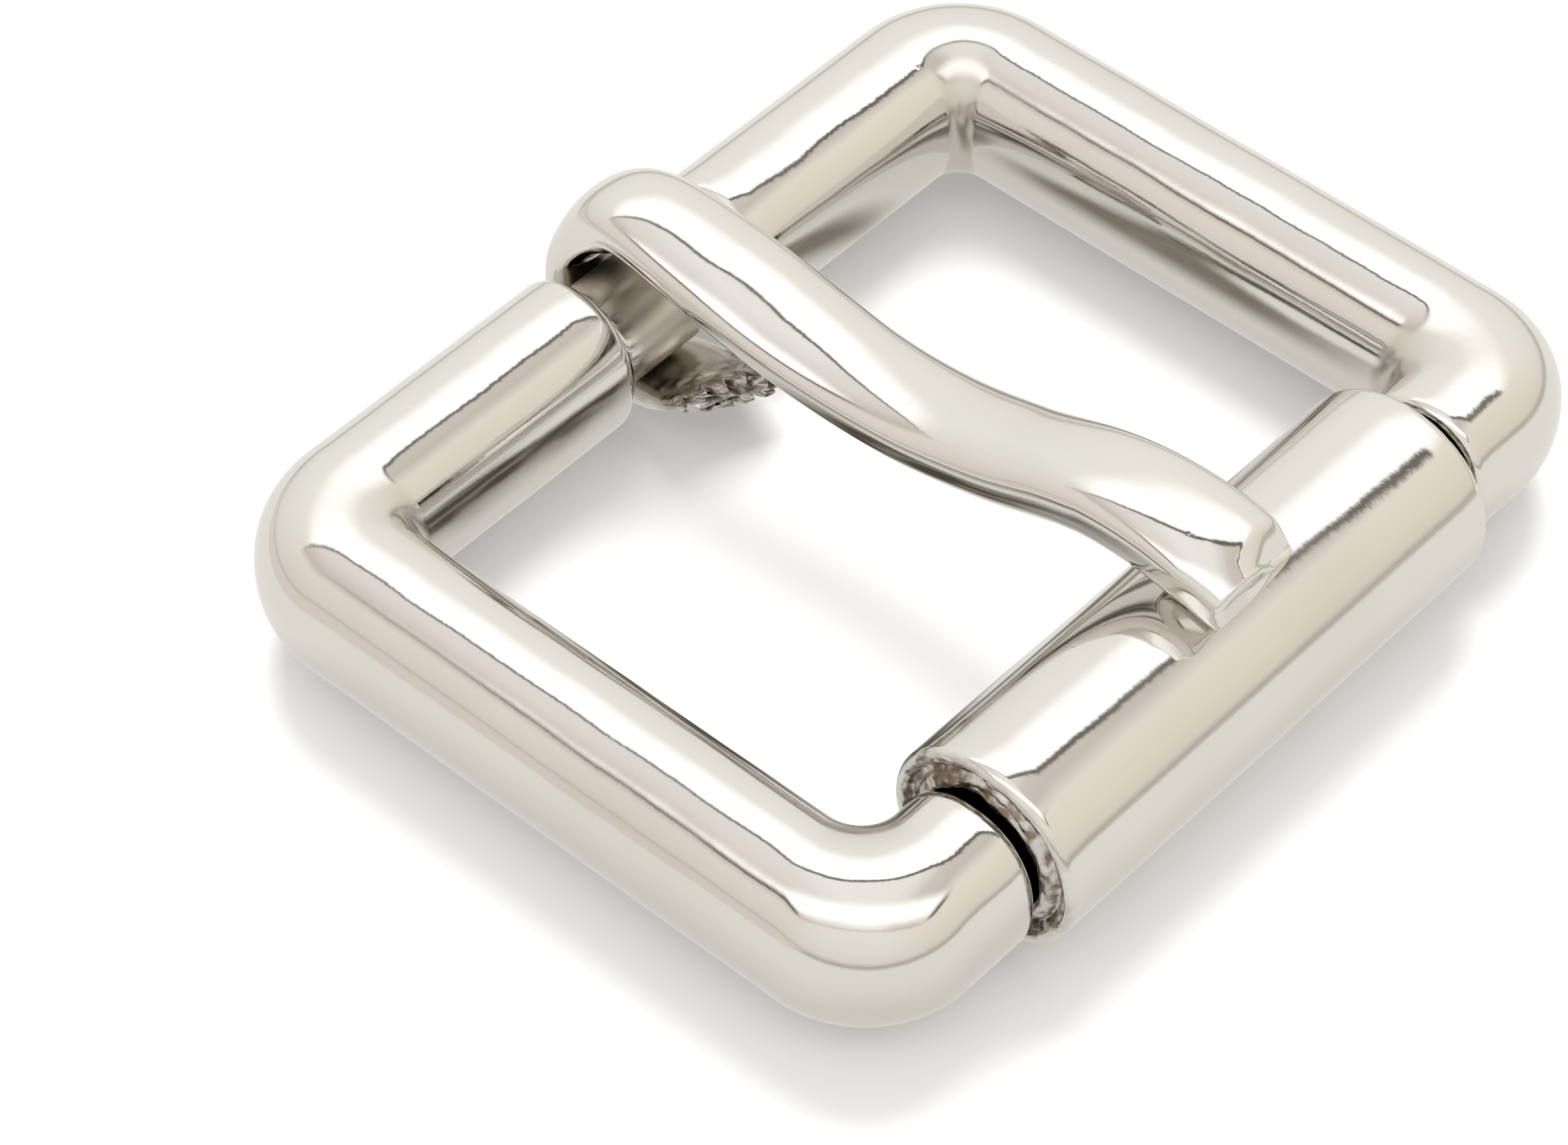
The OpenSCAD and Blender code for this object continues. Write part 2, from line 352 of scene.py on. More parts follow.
@dataclass
class NodeSheet:
    """Short helper that adds and links shader nodes in one node tree."""

    tree: bpy.types.NodeTree

    @classmethod
    def emptied(cls, owner: bpy.types.Material | bpy.types.World) -> "NodeSheet":
        """Empties the node tree of a material or a world.

        Args:
            owner: the material or the world.

        Returns:
            A helper for its nodes.
        """
        owner.use_nodes = True
        owner.node_tree.nodes.clear()
        return cls(owner.node_tree)

    def add(self, kind: str, links: dict | None = None, **settings: object) -> bpy.types.Node:
        """Adds a node.

        Args:
            kind: Blender's class name of the node.
            links: input name or number to a socket that feeds it, or to a plain value.
            settings: attributes of the node, such as operation.

        Returns:
            The new node.
        """
        node = self.tree.nodes.new(kind)
        for key, value in settings.items():
            setattr(node, key, value)
        for key, value in (links or {}).items():
            socket = node.inputs[key]
            if isinstance(value, Socket):
                self.tree.links.new(value, socket)
            else:
                socket.default_value = value
        return node

    def math(self, operation: str, *values: Socket | float) -> Socket:
        """Result of a Math node."""
        return self.add("ShaderNodeMath", dict(enumerate(values)), operation=operation).outputs[0]

    def vector(self, operation: str, *values: Socket | Vector) -> Socket:
        """Value that a Vector Math node gives."""
        node = self.add("ShaderNodeVectorMath", dict(enumerate(values)), operation=operation)
        return node.outputs["Value"]

    def noise(self, place: Socket, scale: Socket | float, detail: float) -> Socket:
        """Value of a noise texture."""
        links = {"Vector": place, "Scale": scale, "Detail": detail}
        return self.add("ShaderNodeTexNoise", links).outputs[0]

    def mix_value(self, factor: Socket, first: Socket | float, second: Socket | float) -> Socket:
        """Value between two others."""
        return self.add("ShaderNodeMix", {0: factor, 2: first, 3: second}, data_type="FLOAT").outputs[0]

    def mix(self, factor: Socket, first: Socket | Colour, second: Socket | Colour) -> Socket:
        """Colour between two others."""
        ends = [end if isinstance(end, Socket) else (*end, 1.0) for end in (first, second)]
        return self.add("ShaderNodeMix", {0: factor, 6: ends[0], 7: ends[1]}, data_type="RGBA").outputs[2]

    def step(self, value: Socket, zero_at: float, one_at: float, blend: Blend = Blend.SMOOTH) -> Socket:
        """Mask that follows a value from 0 to 1.

        Args:
            value: what the mask follows.
            zero_at: the value where the mask is 0.
            one_at: the value where it is 1, above or below the other.
            blend: how it goes from one to the other.

        Returns:
            The mask.
        """
        low, high = sorted((zero_at, one_at))
        at_low, at_high = (0.0, 1.0) if zero_at < one_at else (1.0, 0.0)
        links = {"Value": value, "From Min": low, "From Max": high, "To Min": at_low, "To Max": at_high}
        return self.add("ShaderNodeMapRange", links, interpolation_type=blend.value).outputs[0]

    def product(self, *masks: Socket | float) -> Socket:
        """Product of several masks.

        Args:
            masks: the masks.

        Returns:
            Their product.
        """
        made = masks[0]
        for mask in masks[1:]:
            made = self.math("MULTIPLY", made, mask)
        return made

    def fades(self, *steps: tuple[Socket, Fade], most: float = 1.0) -> Socket:
        """Product of smooth masks, each given by what it follows and its fade, times most."""
        masks = [self.step(value, *fade) for value, fade in steps]
        return self.product(*masks, *([most] if most < 1.0 else []))

    def length(self, a: Socket, b: Socket) -> Socket:
        """Length of the line from zero to (a, b)."""
        return self.vector("LENGTH", self.add("ShaderNodeCombineXYZ", {0: a, 1: b}).outputs[0])

    def distance(self, value: Socket, place: float) -> Socket:
        """Distance between a value and a place."""
        return self.math("ABSOLUTE", self.math("SUBTRACT", value, place))

    def ramp(self, value: Socket, low: float, high: float, stops: Sequence[Stop]) -> Socket:
        """Colour that follows a value through stops.

        Args:
            value: what the colour follows.
            low: the value at the ramp's start.
            high: the value at its end.
            stops: the stops in rising order, in the value's own unit.

        Returns:
            The colour.
        """
        node = self.add("ShaderNodeValToRGB", {0: self.step(value, low, high, Blend.EVEN)})
        elements = node.color_ramp.elements
        while len(elements) < len(stops):
            elements.new(0.5)
        for element, (place, colour) in zip(elements, stops):
            element.position = (place - low) / (high - low)
            element.color = (*colour, 1.0)
        return node.outputs["Color"]

    def surface(self, values: dict[str, Socket | float]) -> None:
        """Adds the material's Principled shader with these inputs, and its output."""
        shader = self.add("ShaderNodeBsdfPrincipled", values)
        self.add("ShaderNodeOutputMaterial", {"Surface": shader.outputs[0]})


@dataclass(frozen=True)
class SurfaceEffect(ABC):
    """An effect that all the finishes share, as a shader node group with float inputs and outputs."""

    name: str
    takes: tuple[tuple[str, float], ...]
    gives: tuple[str, ...]

    @abstractmethod
    def outputs(self, sheet: NodeSheet, place: Socket, given: bpy.types.NodeOutputs) -> tuple[Socket, ...]:
        """Makes what the group puts out.

        Args:
            sheet: the group's nodes.
            place: Object coordinates.
            given: the group's inputs by name.

        Returns:
            One socket for each name in gives.
        """

    def group(self) -> bpy.types.NodeTree:
        """Builds the shader node group, once.

        Returns:
            The group.
        """
        found = bpy.data.node_groups.get(self.name)
        if found:
            return found
        tree = bpy.data.node_groups.new(self.name, "ShaderNodeTree")
        for label, value in self.takes:
            socket = tree.interface.new_socket(name=label, in_out="INPUT", socket_type="NodeSocketFloat")
            socket.default_value = value
        for label in self.gives:
            tree.interface.new_socket(name=label, in_out="OUTPUT", socket_type="NodeSocketFloat")
        sheet = NodeSheet(tree)
        place = sheet.add("ShaderNodeTexCoord").outputs["Object"]
        made = self.outputs(sheet, place, sheet.add("NodeGroupInput").outputs)
        sheet.add("NodeGroupOutput", dict(zip(self.gives, made)))
        return tree


@dataclass(frozen=True)
class PlatingRipple(SurfaceEffect):
    """Height of the plated surface: the polisher's soft waves, fine peel and a few tiny pits."""

    name: str = "Plating ripple"
    takes: tuple[tuple[str, float], ...] = (
        ("Wave scale", 260.0),
        ("Peel scale", 2600.0),
        ("Pit scale", 1500.0),
        ("Pits", 0.4),
    )
    gives: tuple[str, ...] = ("Height", "Pit mask")
    peel_height: float = 0.05
    pit_depth: float = 0.25
    pit_size: Fade = (0.16, 0.02)
    patch_scale: float = 700.0
    patch: Fade = (0.60, 0.70)

    def outputs(self, sheet: NodeSheet, place: Socket, given: bpy.types.NodeOutputs) -> tuple[Socket, ...]:
        """Makes the height and the mask of the pits.

        Args:
            sheet: the group's nodes.
            place: Object coordinates.
            given: the group's inputs by name.

        Returns:
            The height and the mask.
        """
        wave = sheet.noise(place, given["Wave scale"], 1.0)
        peel = sheet.math("MULTIPLY", sheet.noise(place, given["Peel scale"], 2.0), self.peel_height)
        cells = sheet.add("ShaderNodeTexVoronoi", {"Vector": place, "Scale": given["Pit scale"]})
        near = sheet.step(cells.outputs["Distance"], *self.pit_size, Blend.EVEN)
        patch = sheet.step(sheet.noise(place, self.patch_scale, 1.0), *self.patch, Blend.EVEN)
        pit = sheet.product(near, patch, given["Pits"])
        hollow = sheet.math("MULTIPLY", pit, self.pit_depth)
        return sheet.math("SUBTRACT", sheet.math("ADD", wave, peel), hollow), pit


@dataclass(frozen=True)
class HandlingWear(SurfaceEffect):
    """Fine scratches and smudges that handling leaves on bright plate."""

    name: str = "Handling wear"
    takes: tuple[tuple[str, float], ...] = (
        ("Scratch scale", 900.0),
        ("Smudge scale", 160.0),
        ("Amount", 0.5),
    )
    gives: tuple[str, ...] = ("Scratches", "Smudges")
    turns: tuple[Colour, ...] = ((0.3, 0.2, 0.7), (0.9, 0.4, 2.1))
    stretches: tuple[Colour, ...] = ((1.0, 0.04, 0.3), (0.05, 1.0, 0.3))
    hair: Fade = (0.66, 0.74)
    cloud: Fade = (0.42, 0.72)

    def outputs(self, sheet: NodeSheet, place: Socket, given: bpy.types.NodeOutputs) -> tuple[Socket, ...]:
        """Makes the masks of the scratches and the smudges.

        Args:
            sheet: the group's nodes.
            place: Object coordinates.
            given: the group's inputs by name.

        Returns:
            The two masks.
        """
        hairs = []
        for turn, stretch in zip(self.turns, self.stretches):
            laid = sheet.add("ShaderNodeMapping", {"Vector": place, "Rotation": turn, "Scale": stretch})
            hair = sheet.noise(laid.outputs[0], given["Scratch scale"], 2.0)
            hairs.append(sheet.step(hair, *self.hair, Blend.EVEN))
        cloud = sheet.step(sheet.noise(place, given["Smudge scale"], 3.0), *self.cloud, Blend.EVEN)
        scratches = sheet.product(sheet.math("MAXIMUM", *hairs), given["Amount"])
        return scratches, sheet.product(cloud, given["Amount"])


@dataclass(frozen=True)
class NickelFinish:
    """Bright nickel plate, with the raw look that a cut face keeps under it.

    Each shine is a roughness, and each rise is the height of a bump in metres.
    """

    name: str
    bright: Colour = (0.755, 0.735, 0.70)
    dull: Colour = (0.69, 0.67, 0.635)
    raw: Colour = (0.25, 0.20, 0.155)
    unpolished: Colour = (0.63, 0.585, 0.525)
    shine: float = 0.055
    dull_shine: float = 0.13
    raw_shine: float = 0.34
    matte_shine: float = 0.30
    ripple: float = 0.10
    ripple_rise: float = 0.0004
    torn_rise: float = 0.00007
    wear: float = 0.35
    pits: float = 0.4
    wave_scale: float = 260.0
    speckle_scale: float = 2000.0
    speckle: Fade = (0.36, 0.60)

    def material(self) -> bpy.types.Material:
        """Builds the procedural material.

        Returns:
            The material.
        """
        made = bpy.data.materials.new(self.name)
        sheet = NodeSheet.emptied(made)
        given = {"Wave scale": self.wave_scale, "Pits": self.pits}
        ripple = sheet.add("ShaderNodeGroup", given, node_tree=PlatingRipple().group()).outputs
        worn = sheet.add("ShaderNodeGroup", {"Amount": self.wear}, node_tree=HandlingWear().group()).outputs
        cut, matte = (sheet.add("ShaderNodeAttribute", attribute_name=m.value).outputs["Fac"] for m in Mark)
        place = sheet.add("ShaderNodeTexCoord").outputs["Object"]
        speckle = sheet.noise(place, self.speckle_scale, 2.0)
        plated = sheet.mix(worn["Smudges"], self.bright, self.dull)
        plated = sheet.mix(matte, plated, self.unpolished)
        torn = sheet.mix(sheet.step(speckle, *self.speckle), self.raw, self.dull)
        soil = sheet.math("ADD", worn["Smudges"], worn["Scratches"])
        soil = sheet.math("ADD", soil, ripple["Pit mask"])
        shine = sheet.mix_value(soil, self.shine, self.dull_shine)
        shine = sheet.mix_value(matte, shine, self.matte_shine)
        shine = sheet.mix_value(cut, shine, self.raw_shine)
        wavy = {"Strength": self.ripple, "Distance": self.ripple_rise, "Height": ripple["Height"]}
        normal = sheet.add("ShaderNodeBump", wavy).outputs[0]
        rough = {"Strength": cut, "Distance": self.torn_rise, "Height": speckle, "Normal": normal}
        normal = sheet.add("ShaderNodeBump", rough).outputs[0]
        colour = sheet.mix(cut, plated, torn)
        sheet.surface({"Base Color": colour, "Metallic": 1.0, "Roughness": shine, "Normal": normal})
        return made


@dataclass
class Piece(ABC):
    """A dressed piece: the shared sizes, the CAD node it replaces, its body, its slot and its finish."""

    sizes: BuckleSizes
    node: str
    body: str
    slot: Slot
    finish: NickelFinish

    @abstractmethod
    def build(self) -> bpy.types.Object:
        """Makes the piece and seats it."""

    def seat(self, made: bpy.types.Object) -> bpy.types.Object:
        """Gives the piece its finish and puts it in the CAD node's place.

        Args:
            made: the piece's mesh object.

        Returns:
            The same object.
        """
        made.data.materials.append(self.finish.material())
        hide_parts(self.node)
        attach(made, self.body)
        return made


@dataclass
class Station:
    """One section of the ring: its ends seen from above, its half sizes, its shape and its polish.

    matte is how far the polisher's wheel missed the section, and nook how far it missed its inner side.
    """

    inner: tuple[float, float]
    outer: tuple[float, float]
    half_w: float
    half_h: float
    power: float
    matte: float = 0.0
    nook: float = 0.0


@dataclass
class RingCasting(Piece):
    """The cast ring with its two side bars, the waist and the roller's pin, as one closed skin.

    dull_steps is the number of a neck's steps in which the polish comes back up.
    """

    node: str = "frame"
    body: str = "frame"
    slot: Slot = Slot.CAST
    finish: NickelFinish = NickelFinish(name="cast nickel plate")
    rear_corner_r: float = 4.5
    front_corner_r: float = 4.1
    rear_inner_r: float = 0.6
    front_inner_r: float = 1.1
    shoulder_r: float = 0.5
    pin_shoulder_r: float = 0.4
    fillet_r: float = 0.4
    pin_fillet_r: float = 0.15
    nook_matte: float = 0.85
    polish: tuple[Grain, ...] = (Grain(3.1, 0.012, 3.7), Grain(1.2, 0.006, 9.1))
    points: int = 96
    neck_steps: int = 8
    dull_steps: int = 2
    face_steps: int = 5
    corner_steps: int = 26
    rear_bar_steps: int = 12
    side_bar_steps: int = 40
    front_bar_steps: int = 5

    def neck(self, x: float, end_y: float, core_r: float, fillet: float, round_r: float) -> list[Station]:
        """Stations from the middle of a thin round bar out to the thick bar behind its shoulder.

        Args:
            x: place of the thin bar's axis.
            end_y: distance from the middle to the shoulder's face.
            core_r: radius of the thin bar.
            fillet: radius of the hollow fillet in front of the shoulder.
            round_r: rounding of the shoulder.

        Returns:
            The stations at -Y, from the middle outwards.
        """
        s = self.sizes
        steps = self.neck_steps
        base = core_r + fillet
        rows = []
        for k in range(steps + 1):
            matte = min(1.0, (steps - k) / self.dull_steps)
            rows.append(((end_y - fillet) * k / steps, core_r, core_r, ROUND, matte))
        for a in quarter_turn(steps)[1:]:
            half = base - fillet * math.cos(a)
            rows.append((end_y - fillet + fillet * math.sin(a), half, half, ROUND, 0.0))
        for k in range(1, self.face_steps):
            t = k / self.face_steps
            half_w = base + (s.bar_w / 2 - round_r - base) * t
            half_h = base + (s.bar_h / 2 - round_r - base) * t
            rows.append((end_y, half_w, half_h, ROUND + (s.section_power - ROUND) * t, 0.0))
        for a in quarter_turn(steps):
            inset = round_r * (1 - math.sin(a))
            y = end_y + round_r * (1 - math.cos(a))
            rows.append((y, s.bar_w / 2 - inset, s.bar_h / 2 - inset, s.section_power, 0.0))
        inward = math.copysign(1.0, -x)
        return [
            Station((x + inward * half_w, -y), (x - inward * half_w, -y), half_w, half_h, power, matte)
            for y, half_w, half_h, power, matte in rows
        ]

    def corner(self, axis_x: float, inner_r: float, outer_r: float) -> list[Station]:
        """Stations round one corner, from its cross bar to the side bar at -Y.

        Args:
            axis_x: place of the cross bar's middle.
            inner_r: radius of the corner of the opening.
            outer_r: radius of the ring's outer corner.

        Returns:
            The stations in order.
        """
        s = self.sizes
        inward = math.copysign(1.0, -axis_x)
        inner_x, outer_x = axis_x + inward * s.bar_w / 2, axis_x - inward * s.bar_w / 2
        made = []
        for a in quarter_turn(self.corner_steps):
            draw_x, draw_y = inward * (1 - math.cos(a)), 1 - math.sin(a)
            inner = (inner_x + inner_r * draw_x, -s.opening_w / 2 + inner_r * draw_y)
            outer = (outer_x + outer_r * draw_x, -s.ring_half_w + outer_r * draw_y)
            half_w = math.dist(inner, outer) / 2
            nook = self.nook_matte * min(1.0, 2 * math.sin(2 * a))
            made.append(Station(inner, outer, half_w, s.bar_h / 2, s.section_power, nook=nook))
        return made

    @staticmethod
    def between(a: Station, b: Station, steps: int) -> list[Station]:
        """Evenly spaced stations between two others.

        Args:
            a: the station at the start, which gives the height and the shape.
            b: the station at the end.
            steps: number of steps from one to the other.

        Returns:
            The stations, without either end.
        """
        made = []
        for k in range(1, steps):
            t = k / steps
            inner = tuple(p + (q - p) * t for p, q in zip(a.inner, b.inner))
            outer = tuple(p + (q - p) * t for p, q in zip(a.outer, b.outer))
            made.append(Station(inner, outer, math.dist(inner, outer) / 2, a.half_h, a.power))
        return made

    def half(self) -> list[Station]:
        """Stations of the half at -Y.

        Returns:
            The stations from the waist's middle round the side bar to the pin's middle.
        """
        s = self.sizes
        rear = self.neck(s.pivot_x, s.waist_half, s.waist_r, self.fillet_r, self.shoulder_r)
        front = self.neck(s.roller_x, s.shoulder_y, s.pin_r, self.pin_fillet_r, self.pin_shoulder_r)[::-1]
        first = self.corner(s.pivot_x, self.rear_inner_r, self.rear_corner_r)
        second = self.corner(s.roller_x, self.front_inner_r, self.front_corner_r)[::-1]
        rear_bar = self.between(rear[-1], first[0], self.rear_bar_steps)
        side_bar = self.between(first[-1], second[0], self.side_bar_steps)
        front_bar = self.between(second[-1], front[0], self.front_bar_steps)
        return rear + rear_bar + first + side_bar + second + front_bar + front

    def section(self, station: Station, side: Side) -> np.ndarray:
        """Points of one section, before polishing.

        Args:
            station: the section, as the near half has it.
            side: the half of the ring.

        Returns:
            One row of three millimetre values for each point.
        """
        inner, outer = np.array(station.inner), np.array(station.outer)
        across = (inner - outer) / np.linalg.norm(inner - outer)
        unit = section_unit(self.points, station.power)
        flat = (inner + outer) / 2 + across * station.half_w * unit[:, :1]
        points = np.column_stack([flat, self.sizes.mid_z + station.half_h * unit[:, 1]])
        if side is Side.FAR:
            points[:, 1] *= -1
        return points

    def polished(self, points: np.ndarray) -> np.ndarray:
        """Moves a section's points in and out by the hand polisher's soft waves.

        Args:
            points: the section's points.

        Returns:
            The moved points.
        """
        away = points - points.mean(axis=0)
        away /= np.linalg.norm(away, axis=1)[:, None]
        return points + away * np.array([[relief(self.polish, p)] for p in points])

    def missed(self, station: Station) -> list[float]:
        """How far the polisher's wheel missed each point of a section."""
        inward = np.clip(section_unit(self.points, station.power)[:, 0], 0.0, 1.0)
        return np.clip(station.matte + station.nook * inward, 0.0, 1.0).tolist()

    def build(self) -> bpy.types.Object:
        """Makes the ring and seats it.

        Returns:
            The ring's object.
        """
        skin = SkinMesh("ring_casting")
        near = self.half()
        placed = [(station, Side.NEAR) for station in near]
        placed += [(station, Side.FAR) for station in near[-2:0:-1]]
        rings = [
            skin.ring(self.polished(self.section(station, side)), matte=self.missed(station))
            for station, side in placed
        ]
        skin.bands(*rings, rings[0])
        return self.seat(skin.build())


@dataclass
class RollerTube(Piece):
    """The rolled tube on the pin, with sheared ends and the seam where the sheet meets.

    The ridge and the groove of a sheared end are placed by their distance from the bore, and the
    humps beside the seam are in degrees round the tube. The torn grain of the ends has streaks
    round the tube, streak_l long and streak_w wide, and crumbs. A raw value says how torn the
    metal shows.
    """

    node: str = "roller"
    body: str = "roller"
    slot: Slot = Slot.ROLLED
    finish: NickelFinish = NickelFinish(name="rolled nickel plate", wave_scale=200.0, ripple=0.07)
    edge_r: float = 0.35
    edge_raw: float = 0.35
    ridge: Hump = Hump(0.08, 0.0875, 0.09)
    groove: Hump = Hump(0.22, 0.575, 0.15)
    bore_inset: float = 0.2
    bore_raw: float = 0.2
    seam_w: float = 0.12
    seam_angle: float = 205.0
    tuck: Hump = Hump(0.26, 0.0, 6.0)
    roughness: float = 0.13
    torn_side: float = 0.75
    torn_top: float = 0.35
    torn_seam: Hump = Hump(1.6, 0.0, 12.0)
    burr_share: float = 0.4
    streak_l: float = 1.5
    streak_w: float = 0.17
    streaks: Grain = Grain(1.0, 1.0, 5.3)
    crumbs: Grain = Grain(0.28, 0.45, 8.8)
    rolling: Grain = Grain(4.0, 0.006, 2.2)
    turn_steps: int = 300
    face_steps: int = 24
    edge_steps: int = 6
    skin_steps: int = 24
    bore_steps: int = 12

    def outline(self) -> list[tuple[float, float, float]]:
        """Closed outline of the wall.

        Returns:
            The (radius, place along Y, how raw the cut is) of each point.
        """
        s = self.sizes
        half = s.roller_len / 2
        outside = np.linspace(self.edge_r - half, half - self.edge_r, self.skin_steps + 1)[1:-1]
        inside = np.linspace(half - self.bore_inset, self.bore_inset - half, self.bore_steps + 1)
        skin = [(s.roller_r, y, 0.0) for y in outside]
        bore = [(s.bore_r, y, self.bore_raw) for y in inside]
        return self.end_face(-1) + skin + self.end_face(1)[::-1] + bore

    def end_face(self, end: int) -> list[tuple[float, float, float]]:
        """Points across one sheared end.

        Args:
            end: -1 for the end at -Y, 1 for the other.

        Returns:
            Points like the outline's, from the bore out to the tube's skin.
        """
        s = self.sizes
        half = s.roller_len / 2
        out_r = s.roller_r - self.edge_r
        made = []
        for k in range(self.face_steps + 1):
            deep = (out_r - s.bore_r) * k / self.face_steps
            y = half - self.ridge.height + self.ridge.at(deep) - self.groove.at(deep)
            made.append((s.bore_r + deep, end * y, 1.0))
        for a in quarter_turn(self.edge_steps)[1:]:
            r, y = out_r + self.edge_r * math.sin(a), half - self.edge_r * (1 - math.cos(a))
            made.append((r, end * y, self.edge_raw * (1 - a / math.radians(90))))
        return made

    def cut_at(self, outline: list[tuple[float, float, float]], angle: float, beside: float) -> np.ndarray:
        """Points of the wall's outline at one place round the tube.

        Args:
            outline: the outline of the wall.
            angle: the place round the tube, in radians.
            beside: degrees from there to the seam.

        Returns:
            One row of three millimetre values for each point.
        """
        s = self.sizes
        out_x, out_z = math.cos(angle), math.sin(angle)
        torn = self.torn_side + self.torn_top * out_z + self.torn_seam.at(beside)
        points = []
        for r, y, raw in outline:
            edge = (out_x * r, y, out_z * r)
            drawn = (angle * s.roller_r / self.streak_l, r / self.streak_w, y)
            rough = self.roughness * raw * torn * (self.streaks.at(drawn) + self.crumbs.at(edge))
            radius = r - self.tuck.at(beside) + self.rolling.at(edge) + self.burr_share * rough
            y_now = min(max(y + rough, -s.roller_len / 2), s.roller_len / 2)
            points.append((out_x * radius, y_now, out_z * radius))
        return np.array(points) + [s.roller_x, s.roller_shift, s.roller_r]

    def build(self) -> bpy.types.Object:
        """Makes the tube and seats it.

        Returns:
            The tube's object.
        """
        skin = SkinMesh("roller_tube")
        outline = self.outline()
        gap = math.degrees(self.seam_w / self.sizes.roller_r)
        rings = []
        for i in range(self.turn_steps + 1):
            share = i / self.turn_steps
            angle = math.radians(self.seam_angle + gap / 2 + (360 - gap) * share)
            points = self.cut_at(outline, angle, min(share, 1 - share) * (360 - gap))
            rings.append(skin.ring(points, cut=[raw for _, _, raw in outline]))
        skin.bands(*rings)
        skin.faces += [tuple(rings[0]), tuple(rings[-1])]
        return self.seat(skin.build())


@dataclass(frozen=True)
class ProngShares:
    """Rows of the prong's middle line as shares, as the part's source has them.

    Each row has the place along X and Z, the half width and the half thickness. Only the tail's
    first row differs: it stands where the source cuts the tail off.
    """

    tail: tuple[tuple[float, ...], ...] = (
        (1.00, 1.13, 0.47, 0.41),
        (0.70, 0.65, 0.50, 0.43),
        (0.34, 0.16, 0.50, 0.47),
        (0.00, 0.00, 0.48, 0.50),
    )
    low_back: tuple[tuple[float, ...], ...] = ((0.62, 0.74, 0.47, 0.44), (0.97, 0.30, 0.47, 0.49))
    high_back: tuple[tuple[float, ...], ...] = ((1.00, 0.25, 0.475, 0.50), (0.77, 0.58, 0.485, 0.66))
    crown: tuple[tuple[float, ...], ...] = ((0.37, 0.86, 0.50, 0.54), (-0.16, 1.00, 0.525, 0.50))
    arm: tuple[tuple[float, ...], ...] = (
        (0.15, 0.37, 0.53, 0.43),
        (0.28, 0.14, 0.54, 0.44),
        (0.41, 0.00, 0.51, 0.46),
        (0.54, 0.08, 0.50, 0.48),
        (0.67, 0.40, 0.50, 0.50),
        (0.80, 0.86, 0.495, 0.50),
        (0.90, 1.03, 0.49, 0.50),
        (1.00, 1.00, 0.485, 0.50),
    )
    tip_w: float = 0.475
    tip_t: float = 0.47


@dataclass(frozen=True)
class EndCap:
    """How one end of the prong closes, with rings that shrink to its middle.

    way is 1 if the end looks along the middle line and -1 if it looks back. Each ring has its
    share of the full size and how far it is pushed out. cut says how raw the face is.
    """

    way: int
    rings: tuple[tuple[float, float], ...]
    cut: float


